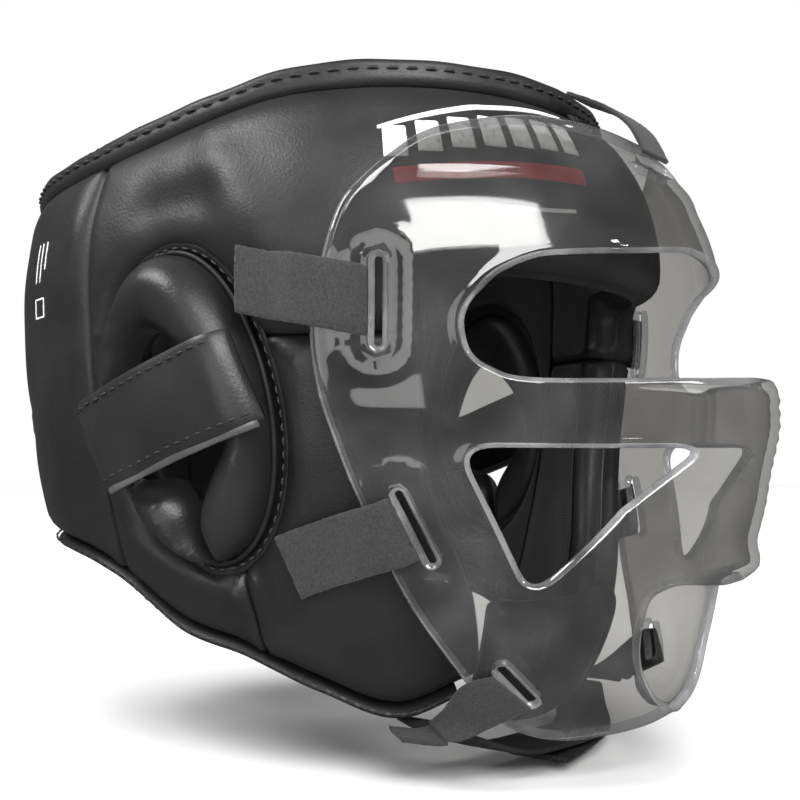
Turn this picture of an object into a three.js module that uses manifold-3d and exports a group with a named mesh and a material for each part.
// A boxing head guard with a clear moulded face mask.
// Millimetres, +Z up. The wearer faces -Y and the wearer's right hand is at -X.
// The origin is the middle of the head, halfway between the ear openings.
// A place on the head is an angle, a height and a lift: the angle is in degrees from straight
// ahead, positive towards the wearer's right, and the lift is how far it stands off the form.

import * as THREE from 'three';
import { mergeVertices } from 'three/addons/utils/BufferGeometryUtils.js';
import Module from 'manifold-3d';

const wasm = await Module();
wasm.setup();

const radians = THREE.MathUtils.degToRad;
const lerp = THREE.MathUtils.lerp;
const smooth = (value, low, high) => THREE.MathUtils.smoothstep(value, low, high);

// ---- driving dimensions ----

// The padded shell and the mask are rounded forms: height, half width, reach ahead, reach behind.
const PAD_LEVELS = [
  [-112, 72, 98, 82],
  [-80, 84, 108, 98],
  [-50, 93, 113, 108],
  [-10, 102, 117, 115],
  [30, 106, 123, 118],
  [65, 105, 123, 118],
  [90, 97, 114, 112],
  [105, 88, 102, 104],
  [118, 72, 84, 86],
];
const MASK_LEVELS = [
  [-108, 62, 126, 60],
  [-96, 70, 139, 60],
  [-75, 83, 147, 60],
  [-55, 91, 150, 60],
  [-35, 98, 150, 60],
  [-11, 105, 147, 60],
  [10, 110, 147, 60],
  [30, 113, 148, 60],
  [50, 112, 148, 60],
  [68, 108, 142, 60],
  [83, 102, 133, 60],
  [92, 97, 125, 60],
];
const PAD_ROUNDNESS = 2.3;
const MASK_ROUNDNESS = 2.15;

const COVER = 1.6;            // sewn leather
const FOAM = 17;
const LINING = 1.4;
const LAYER_GAP = 0.9;        // between two bent layers
const GAP = 0.4;              // between two pieces side by side
const MASK_THICK = 3;
const TAPE_WIDTH = 20;
const TAPE_THICK = 1.6;
const PATCH_THICK = 1;

// Sections round the shell, by angle.
const CHEEK_BACK = 57;
const SIDE_BACK = 102;
const REAR_EDGE = 176;        // the two rear wings stop short of each other
const SEAM_HEIGHT = 22;       // the cheek pads are sewn on below this height
const BROW_HEIGHT = 42;
const BROW_END = 38.5;        // the brow padding is cut high between these angles

// The rims of the shell, as angle and height.
const TOP_RIM = [[0, 104], [50, 103], [63, 101], [77, 95], [102, 85], [140, 78], [180, 76]];
const BOTTOM_RIM = [[0, -84], [27, -86], [38, -94], [55, -86], [71, -76], [88, -69], [102, -55], [140, -44],
  [180, -42]];
// The front edge of a cheek pad, as height and angle.
const CHEEK_FRONT = [[-90, 23.5], [-60, 27], [-25, 36], [5, 38.5], [22, 39]];

const EAR = { forward: 22, height: 0, halfWidth: 33, halfHeight: 53, tilt: 7 };
const EAR_RING = { halfWidth: 20, halfHeight: 41, radius: 10, lift: -1 };
const EAR_BAND = { width: 29, tilt: 20, thick: 1.8 };
const FLANGE = { width: 4, thick: 1.2 };

// ---- form ----

// Reads a list of [at, value] pairs as one smooth curve.
function curve(pairs) {
  const interpolant = new THREE.CubicInterpolant(pairs.map((pair) => pair[0]), pairs.map((pair) => pair[1]), 1);
  return (at) => interpolant.evaluate(at)[0];
}

function makeForm(levels, roundness, bump = () => 0) {
  const heights = levels.map((level) => level[0]);
  const halves = new THREE.CubicInterpolant(heights, levels.flatMap((level) => level.slice(1)), 3);
  const radius = (angle, height) => {
    const [side, front, back] = halves.evaluate(height);
    const across = Math.abs(Math.sin(radians(angle))) / side;
    const along = Math.abs(Math.cos(radians(angle))) / (Math.abs(angle) <= 90 ? front : back);
    return (across ** roundness + along ** roundness) ** (-1 / roundness) + bump(angle, height);
  };
  const surface = (angle, height) => {
    const reach = radius(angle, height);
    return new THREE.Vector3(-reach * Math.sin(radians(angle)), -reach * Math.cos(radians(angle)), height);
  };
  const normal = (angle, height) => {
    const turn = surface(angle + 0.5, height).sub(surface(angle - 0.5, height));
    const rise = surface(angle, height + 0.5).sub(surface(angle, height - 0.5));
    return rise.cross(turn).normalize();
  };
  return {
    radius,
    normal,
    point: (angle, height, lift = 0) => surface(angle, height).addScaledVector(normal(angle, height), lift),
  };
}

// The moulded nose stands out of the mask as a blunt wedge.
const NOSE = { halfAngle: 15, top: 17, bottom: -56 };
const noseReach = curve([[NOSE.bottom, 3], [-52, 12], [-40, 15], [-25, 20], [0, 26], [8, 24], [14, 14], [NOSE.top, 4]]);
function noseBump(angle, height) {
  if (height >= NOSE.top || height <= NOSE.bottom) return 0;
  const fall = Math.max(0, 1 - Math.abs(angle) / NOSE.halfAngle);
  return noseReach(height) * fall;
}

const pad = makeForm(PAD_LEVELS, PAD_ROUNDNESS);
const face = makeForm(MASK_LEVELS, MASK_ROUNDNESS, noseBump);
const topCurve = curve(TOP_RIM);
const bottomCurve = curve(BOTTOM_RIM);
const cheekFront = curve(CHEEK_FRONT);
const topRim = (angle) => topCurve(Math.abs(angle));
const bottomRim = (angle) => bottomCurve(Math.abs(angle));

// ---- solids ----

const range = (from, to, steps) => Array.from({ length: steps + 1 }, (_, i) => lerp(from, to, i / steps));

// Turns a closed triangle list the right way out and makes its geometry.
function closedGeometry(positions, index) {
  const geometry = new THREE.BufferGeometry();
  geometry.setAttribute('position', new THREE.Float32BufferAttribute(positions, 3));
  const [a, b, c] = [new THREE.Vector3(), new THREE.Vector3(), new THREE.Vector3()];
  let volume = 0;
  for (let i = 0; i < index.length; i += 3) {
    a.fromArray(positions, 3 * index[i]);
    b.fromArray(positions, 3 * index[i + 1]);
    c.fromArray(positions, 3 * index[i + 2]);
    volume += a.dot(b.cross(c));
  }
  geometry.setIndex(volume < 0 ? index.reverse() : index);
  return geometry;
}

// A bent slab: place(column, row, side) gives its points, with side 0 inside and 1 outside.
// A looped slab closes on itself across its columns.
function slab(columns, rows, place, looped = false) {
  const positions = [];
  for (const side of [0, 1]) {
    for (const column of columns) {
      for (const row of rows) positions.push(...place(column, row, side).toArray());
    }
  }
  const last = rows.length - 1;
  const at = (side, i, j) => (side * columns.length + (i % columns.length)) * rows.length + j;
  const index = [];
  const vertex = (i) => new THREE.Vector3().fromArray(positions, 3 * i);
  // Each four-sided cell is split along its shorter diagonal.
  const quad = (a, b, c, d) => {
    const short = vertex(a).distanceTo(vertex(c)) <= vertex(b).distanceTo(vertex(d));
    index.push(...(short ? [a, b, c, a, c, d] : [b, c, d, b, d, a]));
  };
  for (let i = 0; i < columns.length - (looped ? 0 : 1); i += 1) {
    for (let j = 0; j < last; j += 1) {
      quad(at(1, i, j), at(1, i, j + 1), at(1, i + 1, j + 1), at(1, i + 1, j));
      quad(at(0, i, j), at(0, i + 1, j), at(0, i + 1, j + 1), at(0, i, j + 1));
    }
    quad(at(0, i, 0), at(1, i, 0), at(1, i + 1, 0), at(0, i + 1, 0));
    quad(at(0, i, last), at(0, i + 1, last), at(1, i + 1, last), at(1, i, last));
  }
  if (!looped) {
    const end = columns.length - 1;
    for (let j = 0; j < last; j += 1) {
      quad(at(0, 0, j), at(0, 0, j + 1), at(1, 0, j + 1), at(1, 0, j));
      quad(at(0, end, j), at(1, end, j), at(1, end, j + 1), at(0, end, j + 1));
    }
  }
  return closedGeometry(positions, index);
}

function toSolid(geometry) {
  const bare = geometry.clone();
  bare.deleteAttribute('normal');
  bare.deleteAttribute('uv');
  const merged = mergeVertices(bare, 1e-4);
  return new wasm.Manifold(new wasm.Mesh({
    numProp: 3,
    vertProperties: merged.attributes.position.array,
    triVerts: new Uint32Array(merged.index.array),
  }));
}

function toGeometry(solid) {
  const mesh = solid.getMesh();
  const geometry = new THREE.BufferGeometry();
  geometry.setAttribute('position', new THREE.BufferAttribute(mesh.vertProperties, 3));
  geometry.setIndex(new THREE.BufferAttribute(mesh.triVerts, 1));
  return geometry;
}

function cut(geometry, cutters) {
  return toGeometry(cutters.reduce((solid, cutter) => solid.subtract(toSolid(cutter)), toSolid(geometry)));
}

// Extrudes an outline drawn in X and Z along Y.
function prismAlongY(shape, from, to) {
  const prism = new THREE.ExtrudeGeometry(shape, { depth: to - from, bevelEnabled: false, curveSegments: 6 });
  return prism.rotateX(Math.PI / 2).translate(0, to, 0);
}

// ---- the built object ----

const guard = new THREE.Group();
const MATERIALS = {
  leather: { color: 0x1b1b1d, roughness: 0.45, metalness: 0 },
  foam: { color: 0x3a3a3d, roughness: 0.95, metalness: 0 },
  lining: { color: 0x101012, roughness: 0.85, metalness: 0 },
  binding: { color: 0x161618, roughness: 0.6, metalness: 0 },
  tape: { color: 0x141414, roughness: 0.95, metalness: 0 },
  mask: { color: 0xc8ccd0, roughness: 0.08, metalness: 0 },
};

function addPiece(name, geometry, material) {
  const mesh = new THREE.Mesh(geometry, new THREE.MeshStandardMaterial(MATERIALS[material]));
  mesh.name = name;
  guard.add(mesh);
}

const SIDES = [['right', 1], ['left', -1]];

// ---- padded shell ----

const LAYERS = [
  { name: 'cover', material: 'leather', outer: 0, inner: -COVER },
  { name: 'foam', material: 'foam', outer: -COVER - LAYER_GAP, inner: -COVER - LAYER_GAP - FOAM },
  { name: 'lining', material: 'lining', outer: -COVER - 2 * LAYER_GAP - FOAM,
    inner: -COVER - 2 * LAYER_GAP - FOAM - LINING },
];
const PAD_THICK = COVER + FOAM + LINING + 2 * LAYER_GAP;

// One layer of padding between two angles and two heights that may change with the angle.
function padLayer(layer, angles, rowCount, low, high) {
  return slab(angles, range(0, 1, rowCount), (angle, row, side) => {
    const height = lerp(low(angle), high(angle), row);
    return pad.point(angle, height, side ? layer.outer : layer.inner);
  });
}

// A point of an oval drawn on the side of the head, grown by a margin. Turn is in degrees round it.
function earOval(oval, turn, margin = 0) {
  const forward = (oval.halfWidth + margin) * Math.cos(radians(turn));
  const up = (oval.halfHeight + margin) * Math.sin(radians(turn));
  const lean = radians(EAR.tilt);
  return [
    EAR.forward + forward * Math.cos(lean) - up * Math.sin(lean),
    EAR.height + up * Math.cos(lean) + forward * Math.sin(lean),
  ];
}

// The angle on the padding at which a place that far forward lies.
function angleAt(forward, height) {
  let angle = 90;
  for (let pass = 0; pass < 12; pass += 1) {
    const reach = pad.radius(angle, height);
    angle = 90 - THREE.MathUtils.radToDeg(Math.asin(forward / reach));
  }
  return angle;
}

// The hole for the ear, cut from well inside the padding out past the cover.
function earCutter(sign) {
  const inside = 35;
  const outside = 145;
  const turns = range(0, 342, 19);
  const outline = turns.map((turn) => {
    const [forward, up] = earOval(EAR, turn);
    return new THREE.Vector2(forward, up);
  });
  const prism = new THREE.ExtrudeGeometry(new THREE.Shape(outline), { depth: outside - inside, bevelEnabled: false });
  // The outline's X runs forward (-Y), its Y runs up (+Z), and the depth runs outward.
  const frame = new THREE.Matrix4().makeBasis(
    new THREE.Vector3(0, -1, 0),
    new THREE.Vector3(0, 0, 1),
    new THREE.Vector3(-1, 0, 0),
  );
  prism.applyMatrix4(frame).translate(-inside, 0, 0);
  return sign > 0 ? prism : mirrored(prism);
}

// Mirrors a geometry from the wearer's right to the left.
function mirrored(geometry) {
  const copy = geometry.index ? geometry.clone() : mergeVertices(geometry);
  copy.scale(-1, 1, 1);
  copy.setIndex(Array.from(copy.index.array).reverse());
  return copy;
}

// Adds a piece made for the wearer's right, and its mirror image.
function addPair(name, geometry, material) {
  addPiece(`${name}_right`, geometry, material);
  addPiece(`${name}_left`, mirrored(geometry), material);
}

function addShell() {
  const brow = (angle) => (Math.abs(angle) < BROW_END ? BROW_HEIGHT : SEAM_HEIGHT);
  const coverLow = (angle) => (Math.abs(angle) > CHEEK_BACK ? bottomRim(angle) : brow(angle));
  const sideStart = CHEEK_BACK + 0.6;
  const half = [6, 14, 22, 30, 38, BROW_END + 1, 48, CHEEK_BACK, sideStart, 65, 74, 83, 92, SIDE_BACK];
  const round = [...half.map((angle) => -angle).reverse(), 0, ...half];
  const [cover, foam, lining] = LAYERS;
  const shellCover = padLayer(cover, round, 9, coverLow, topRim);
  addPiece('shell_cover', cut(shellCover, [earCutter(1), earCutter(-1)]), cover.material);

  const front = round.filter((angle) => Math.abs(angle) <= CHEEK_BACK);
  const side = half.filter((angle) => angle >= sideStart);
  const cheekSteps = range(0, 1, 3);
  const rear = range(SIDE_BACK + GAP, REAR_EDGE, 9);
  for (const layer of [foam, lining]) {
    addPiece(`forehead_${layer.name}`, padLayer(layer, front, 5, brow, topRim), layer.material);
    const sidePanel = padLayer(layer, side, 9, bottomRim, topRim);
    addPair(`side_${layer.name}`, cut(sidePanel, [earCutter(1)]), layer.material);
  }
  for (const layer of LAYERS) {
    const cheek = slab(cheekSteps, range(0, 1, 7), (step, row, edge) => {
      const backLow = bottomRim(CHEEK_BACK);
      const guess = lerp(lerp(bottomRim(cheekFront(-84)), backLow, step), SEAM_HEIGHT - GAP, row);
      const angle = lerp(cheekFront(guess), CHEEK_BACK - GAP, step);
      const height = lerp(bottomRim(angle), SEAM_HEIGHT - GAP, row);
      return pad.point(angle, height, edge ? layer.outer : layer.inner);
    });
    addPair(`cheek_${layer.name}`, cheek, layer.material);
    addPair(`rear_${layer.name}`, padLayer(layer, rear, 6, bottomRim, topRim), layer.material);
  }
}

// ---- ear pads ----

function addEars() {
  // A place over the ear: how far forward, how high, how far off the padding.
  const overEar = (forward, up, lift) => pad.point(angleAt(forward, up), up, lift);
  const turns = range(0, 345, 23);

  const flange = slab(turns, [0, 1], (turn, row, side) => {
    const [forward, up] = earOval(EAR, turn, lerp(0.6, FLANGE.width, row));
    return overEar(forward, up, GAP + side * FLANGE.thick);
  }, true);
  addPair('ear_flange', flange, 'binding');

  // The ring is a padded tube bent into an oval.
  const ring = [];
  const tubeSteps = 8;
  for (const turn of turns) {
    const inPlane = new THREE.Vector2(
      Math.cos(radians(turn)) / EAR_RING.halfWidth,
      Math.sin(radians(turn)) / EAR_RING.halfHeight,
    ).normalize();
    const lean = radians(EAR.tilt);
    const [forward, up] = earOval(EAR_RING, turn);
    for (let i = 0; i < tubeSteps; i += 1) {
      const roll = (i / tubeSteps) * 2 * Math.PI;
      const out = EAR_RING.radius * Math.cos(roll);
      const x = inPlane.x * Math.cos(lean) - inPlane.y * Math.sin(lean);
      const y = inPlane.y * Math.cos(lean) + inPlane.x * Math.sin(lean);
      ring.push(overEar(forward + x * out, up + y * out, EAR_RING.lift + EAR_RING.radius * Math.sin(roll)));
    }
  }
  const index = [];
  for (let i = 0; i < turns.length; i += 1) {
    for (let j = 0; j < tubeSteps; j += 1) {
      const a = i * tubeSteps + j;
      const b = i * tubeSteps + ((j + 1) % tubeSteps);
      const next = ((i + 1) % turns.length) * tubeSteps;
      index.push(a, next + j, next + (b % tubeSteps), a, next + (b % tubeSteps), b);
    }
  }
  addPair('ear_ring', closedGeometry(ring.flatMap((point) => point.toArray()), index), 'leather');

  // The band lies flat over the ring and turns down round its outside.
  const clear = EAR_RING.radius + 2;
  const bandEnd = 62;           // degrees that each end turns down
  const along = [-bandEnd, -bandEnd / 2, ...range(0, 1, 5), bandEnd / 2 + 1, bandEnd + 1];
  const bandHalf = EAR_RING.halfWidth + 3;
  const bandTilt = radians(EAR_BAND.tilt);
  const band = slab(along, range(-0.5, 0.5, 3), (step, row, side) => {
    const turn = radians(step < 0 ? -step : Math.max(0, step - 1));
    const middle = lerp(-1, 1, THREE.MathUtils.clamp(step, 0, 1)) * bandHalf;
    const grow = clear + side * EAR_BAND.thick;
    const run = middle + Math.sign(step < 0 ? -1 : step - 0.5) * grow * Math.sin(turn);
    const across = row * EAR_BAND.width;
    const forward = EAR.forward + run * Math.cos(bandTilt) - across * Math.sin(bandTilt);
    const up = EAR.height + run * Math.sin(bandTilt) + across * Math.cos(bandTilt);
    return overEar(forward, up, EAR_RING.lift + grow * Math.cos(turn));
  });
  addPair('ear_band', band, 'leather');
}

// ---- crown and bindings ----

const RIM_HEIGHT = 6;
const RIM_THICK = 2.6;
const RIM_RISE = 1.2;         // the rim stands this far above the cover's edge

function addCrown() {
  const round = range(-180, 168, 29);
  const rim = slab(round, [0, 1], (angle, row, side) => {
    const foot = pad.point(angle, topRim(angle), -COVER - 1 + side * RIM_THICK);
    foot.z = topRim(angle) + RIM_RISE + row * RIM_HEIGHT;
    return foot;
  }, true);
  addPiece('top_rim_binding', rim, 'binding');

  // Two flaps close the crown. Each runs from the rim to a straight edge near the middle.
  const crownTop = 116;
  const flapThick = 5;
  const inset = RIM_THICK + 4;  // the flaps stop short of the rim
  const flapRim = 0.96;
  const steepness = 2.2;        // nearly flat in the middle, steep at the rim
  const crownPoint = (angle, share, lift) => {
    const foot = pad.point(angle, topRim(angle), -inset);
    const height = lerp(crownTop, foot.z + RIM_HEIGHT, share ** steepness);
    return new THREE.Vector3(foot.x * share, foot.y * share, height + lift);
  };
  const flap = (angles, edge) => slab(angles, range(0, 1, 5), (angle, row, side) => {
    const foot = pad.point(angle, topRim(angle), -inset);
    const inner = edge / Math.abs(foot.y);
    return crownPoint(angle, lerp(inner, flapRim, row), side * flapThick);
  });
  const halfGap = 9;            // between the middle of the crown and a flap's straight edge
  addPiece('crown_flap_front', flap(range(-80, 80, 12), halfGap), 'leather');
  addPiece('crown_flap_rear', flap(range(100, 260, 12), halfGap), 'leather');

  const top = crownTop + flapThick;
  const patch = new THREE.BoxGeometry(34, 22, PATCH_THICK);
  addPiece('crown_patch', patch.translate(0, -24, top + PATCH_THICK / 2 + 0.5), 'tape');
  const tab = new THREE.BoxGeometry(30, 66, TAPE_THICK);
  addPiece('crown_tab', tab.translate(0, 0, top + PATCH_THICK + TAPE_THICK / 2 + 0.9), 'tape');
}

function addBindings() {
  // The lower binding wraps the bottom edge from the cheek to the rear opening.
  const lip = 2.4;
  const inset = 1;
  const angles = [29, 34, 40, 48, 56, 64, 74, 84, 94, 104, 116, 130, 145, 160, REAR_EDGE];
  const lower = slab(angles, [0, 1], (angle, row, side) => {
    const point = pad.point(angle, bottomRim(angle), lerp(-PAD_THICK + inset, -inset, side));
    point.z -= 4.5 * GAP + (1 - row) * lip;
    return point;
  });
  addPair('bottom_binding', lower, 'binding');
}

// ---- face mask ----

const MASK_TOP = [[0, 90], [12, 91.5], [23, 91], [32, 87.5], [39, 83], [44, 75.5], [47.5, 69], [51, 60], [53.2, 45],
  [54.9, 24]];
const MASK_BOTTOM = [[0, -97], [5, -99.5], [11, -101.5], [16, -102.5], [22, -99.5], [27, -92], [34.5, -75],
  [41.7, -54], [48.5, -25.5], [51.7, -9], [54, 6], [54.9, 18]];
const EYE = { halfAngle: 36.2, middle: 24, top: 51, bottom: 9.5 };
const CHEEK_HOLE = [[35.7, -11.4], [7.5, -11.4], [26, -55.6]];
const MOUTH = { halfAngle: 11.5, top: -57, bottom: -94 };
// Where each tape passes through the mask: angle and height of the slot's two ends.
const SLOTS = {
  temple: [[46.1, 44], [46.1, 17]],
  cheek: [[43.2, -24.5], [37.8, -46.5]],
  jaw: [[28, -78], [22.3, -90]],
};

const TOP_SLOT_HEIGHT = 80.5;

// Draws a closed outline in X and Z through places on the mask.
function maskOutline(places) {
  const points = places.map(([angle, height]) => {
    const point = face.point(angle, height, -MASK_THICK / 2);
    return new THREE.Vector2(point.x, point.z);
  });
  return new THREE.Shape(points);
}

function eyeOutline() {
  const places = [];
  for (const turn of range(0, 350, 35)) {
    const angle = EYE.halfAngle * Math.sign(Math.cos(radians(turn))) * Math.abs(Math.cos(radians(turn))) ** 0.6;
    const rise = Math.sin(radians(turn));
    const reach = rise > 0 ? EYE.top - EYE.middle - 6 * (angle / EYE.halfAngle) ** 2 : EYE.middle - EYE.bottom;
    places.push([angle, EYE.middle + reach * Math.sign(rise) * Math.abs(rise) ** 0.7]);
  }
  return maskOutline(places);
}

function mouthOutline() {
  const middle = (MOUTH.top + MOUTH.bottom) / 2;
  const reach = (MOUTH.top - MOUTH.bottom) / 2;
  const places = range(0, 342, 19).map((turn) => [
    MOUTH.halfAngle * Math.sign(Math.cos(radians(turn))) * Math.abs(Math.cos(radians(turn))) ** 0.7,
    middle + reach * Math.sign(Math.sin(radians(turn))) * Math.abs(Math.sin(radians(turn))) ** 0.7,
  ]);
  return maskOutline(places);
}

// A slot is cut square to the mask, wide enough for the tape to fold through.
function slotCutter([upper, lower], halfWidth = 1.2) {
  return slab([-halfWidth, halfWidth], [0, 1], (shift, row, side) => {
    const angle = lerp(lower[0], upper[0], row) + shift;
    return face.point(angle, lerp(lower[1], upper[1], row), side ? 8 : -8);
  });
}

function addMask() {
  const half = [5, 10, 15, 20, 26, 32, 38, 43, 47, 50.5, 53, 54.8];
  const angles = [...half.map((angle) => -angle).reverse(), 0, ...half];
  const top = curve(MASK_TOP);
  const bottom = curve(MASK_BOTTOM);
  const shell = slab(angles, range(0, 1, 15), (angle, row, side) => {
    const height = lerp(bottom(Math.abs(angle)), top(Math.abs(angle)), row);
    return face.point(angle, height, side ? 0 : -MASK_THICK);
  });
  const frontCut = (shape) => prismAlongY(shape, -210, -60);   // from ahead of the nose to behind the mask
  const cheekHole = maskOutline(CHEEK_HOLE);
  const otherCheekHole = maskOutline(CHEEK_HOLE.map(([angle, height]) => [-angle, height]).reverse());
  const cutters = [frontCut(eyeOutline()), frontCut(mouthOutline()), frontCut(cheekHole), frontCut(otherCheekHole)];
  for (const [upper, lower] of Object.values(SLOTS)) {
    cutters.push(slotCutter([upper, lower]));
    cutters.push(slotCutter([[-upper[0], upper[1]], [-lower[0], lower[1]]]));
  }
  const topSlot = new THREE.BoxGeometry(TAPE_WIDTH + 4, 30, 3.4);
  cutters.push(topSlot.translate(0, -132, TOP_SLOT_HEIGHT));
  addPiece('face_mask', cut(shell, cutters), 'mask');
}

// ---- hook-and-loop tapes ----

// A flat ribbon between two edge curves. Edge curves take 0 to 1 along the ribbon.
function ribbon(edgeA, edgeB, steps, thick, outward) {
  return slab(range(0, 1, steps), [0, 1], (step, row, side) => {
    const point = (row ? edgeB : edgeA)(step);
    return point.addScaledVector(outward(step), side * thick);
  });
}

// The height above which a place on the padding or on the mask is clear of both.
function overBoth(angle, height, lift, maskShare) {
  const onPad = pad.point(angle, height, lift + PATCH_THICK + 0.5);
  const onMask = face.point(angle, height, lift);
  return onPad.lerp(onMask, maskShare);
}

// A tape lies from its slot in the mask back over the leather, and ends in a free cut edge.
function sideTape(slot, end, maskEdge) {
  const [upper, lower] = slot;
  const middleAngle = (upper[0] + lower[0]) / 2;
  const middleHeight = (upper[1] + lower[1]) / 2;
  const run = new THREE.Vector2(end[0] - middleAngle, end[1] - middleHeight);
  const tilt = new THREE.Vector2(upper[0] - lower[0], upper[1] - lower[1]);
  const degree = 1.75;      // millimetres to a degree on the side of the head
  const length = Math.hypot(tilt.x * degree, tilt.y);
  tilt.multiplyScalar(TAPE_WIDTH / 2 / length);
  const place = (step, edge, side) => {
    const angle = middleAngle + 1.4 + (run.x - 1.4) * step + edge * tilt.x;
    const height = middleHeight + run.y * step + edge * tilt.y;
    const onMask = 1 - smooth(angle, maskEdge + 1, maskEdge + 7);
    return overBoth(angle, height, 0.6 + side * TAPE_THICK, onMask);
  };
  return slab(range(0, 1, 9), [-1, 0, 1], place);
}

// The patch that a tape sticks to is sewn on the leather just short of the tape's end.
function hookPatch(end, setback) {
  const reach = 2.4;
  return slab([-reach, 0, reach], [-1, 0, 1], (turn, row, side) => {
    const height = end[1] + row * (TAPE_WIDTH / 2 - 2);
    return pad.point(end[0] - setback + turn, height, GAP + side * (PATCH_THICK - GAP));
  });
}

const TEMPLE_END = [66, 39];
const CHEEK_END = [58.5, -47];

// The jaw tape leaves its slot, crosses the mask's edge and turns flat under the cheek pad.
function jawTape() {
  const [upper, lower] = SLOTS.jaw;
  const slotTop = face.point(upper[0] + 0.6, upper[1] - 1, 1);
  const slotBottom = face.point(lower[0] + 0.6, lower[1] + 1, 1);
  const edgeTop = face.point(34, -84, 1.6);
  const edgeBottom = face.point(28.5, -99, 1.2);
  const under = (angle, reach, height) => new THREE.Vector3(
    -reach * Math.sin(radians(angle)),
    -reach * Math.cos(radians(angle)),
    height,
  );
  const inner = new THREE.CatmullRomCurve3([slotTop, edgeTop.lerp(slotTop, 0.35), under(34, 99, -97.5),
    under(40, 88, -99.5)]);
  const outer = new THREE.CatmullRomCurve3([slotBottom, edgeBottom.lerp(slotBottom, 0.35), under(32, 112, -100.5),
    under(40, 106, -99.5)]);
  const outward = (step) => {
    const along = inner.getPoint(Math.min(1, step + 0.05)).sub(inner.getPoint(Math.max(0, step - 0.05)));
    const across = outer.getPoint(step).sub(inner.getPoint(step));
    return across.cross(along).normalize().negate();
  };
  return ribbon((step) => inner.getPoint(step), (step) => outer.getPoint(step), 8, TAPE_THICK, outward);
}

function addTapes() {
  addPair('temple_tape', sideTape(SLOTS.temple, TEMPLE_END, 54.9), 'tape');
  addPair('cheek_tape', sideTape(SLOTS.cheek, CHEEK_END, 46), 'tape');
  addPair('jaw_tape', jawTape(), 'tape');
  addPair('temple_patch', hookPatch(TEMPLE_END, 6.5), 'tape');
  addPair('cheek_patch', hookPatch(CHEEK_END, 4.4), 'tape');

  // The forehead tape rises from the top slot over the mask's edge to the top rim.
  const route = new THREE.CatmullRomCurve3([
    new THREE.Vector3(0, -134, 83.5),
    new THREE.Vector3(0, -128.5, 93.5),
    new THREE.Vector3(0, -119, 101),
    new THREE.Vector3(0, -107, 107),
  ]);
  const forehead = slab(range(0, 1, 6), [-1, 1], (step, row, side) => {
    const along = route.getTangent(step);
    const outward = new THREE.Vector3(0, -along.z, along.y);
    return route.getPoint(step).addScaledVector(outward, side * TAPE_THICK).setX(row * TAPE_WIDTH / 2);
  });
  addPiece('forehead_tape', forehead, 'tape');
  const foreheadPatch = slab([-1, 0, 1], [-1, 0, 1], (across, row, side) => (
    pad.point(across * 4.5, 96.5 + row * 4, GAP + side * (PATCH_THICK - GAP))
  ));
  addPiece('forehead_patch', foreheadPatch, 'tape');
}

// ---- chin strap and rear closure ----

const CHIN = { forward: 98, height: -112, width: 26, thick: 2 };

function addChinStrap() {
  // Both halves hang from the cheek pads in one arc and overlap under the chin.
  const route = (from, to, drop) => new THREE.CatmullRomCurve3([
    new THREE.Vector3(from, -CHIN.forward + 20, -99 + drop),
    new THREE.Vector3(from * 0.85, -CHIN.forward + 15, -104 + drop),
    new THREE.Vector3(from * 0.5, -CHIN.forward + 5, CHIN.height + 2 + drop),
    new THREE.Vector3(to, -CHIN.forward, CHIN.height + 1 + drop),
  ]);
  const strap = (path) => slab(range(0, 1, 9), [-1, 1], (step, row, side) => {
    const down = new THREE.Vector3(0, 1, 0).cross(path.getTangent(step)).normalize();
    down.multiplyScalar(-Math.sign(down.z));
    const point = path.getPoint(step).addScaledVector(down, side * CHIN.thick);
    point.y += row * (CHIN.width / 2 - 2);
    return point;
  });
  addPiece('chin_strap_right', strap(route(-52, 14, 0)), 'binding');
  addPiece('chin_strap_left', strap(route(52, -16, -CHIN.thick - 1)), 'binding');
  // The chin cup is a bent pad that sits on the strap, between the cheek pads.
  const cup = { halfAngle: 23.2, low: -108, high: -62, sideRise: 6.5, setback: 2, thick: 12, tuck: 6 };
  const chinCup = slab(range(-cup.halfAngle, cup.halfAngle, 10), range(0, 1, 4), (angle, row, side) => {
    const low = cup.low + cup.sideRise * (angle / cup.halfAngle) ** 2;
    const inward = cup.setback + cup.tuck * (1 - row) ** 2 + (side ? 0 : cup.thick);
    return pad.point(angle, lerp(low, cup.high, row), -inward);
  });
  addPiece('chin_pad', chinCup, 'leather');
}

function addRearClosure() {
  const height = 14;
  const halfHeight = 22;
  const patch = slab(range(151, 167, 2), [-1, 0, 1], (angle, row, side) => (
    pad.point(angle, height + row * (halfHeight - 3), GAP + side * (PATCH_THICK - GAP))
  ));
  addPiece('rear_patch', patch, 'tape');
  const strap = slab(range(148, 212, 8), [-1, 0, 1], (angle, row, side) => (
    pad.point(angle, height + row * halfHeight, 2 + side * TAPE_THICK)
  ));
  addPiece('rear_strap', strap, 'tape');
}

addShell();
addEars();
addCrown();
addBindings();
addMask();
addTapes();
addChinStrap();
addRearClosure();

export default guard;
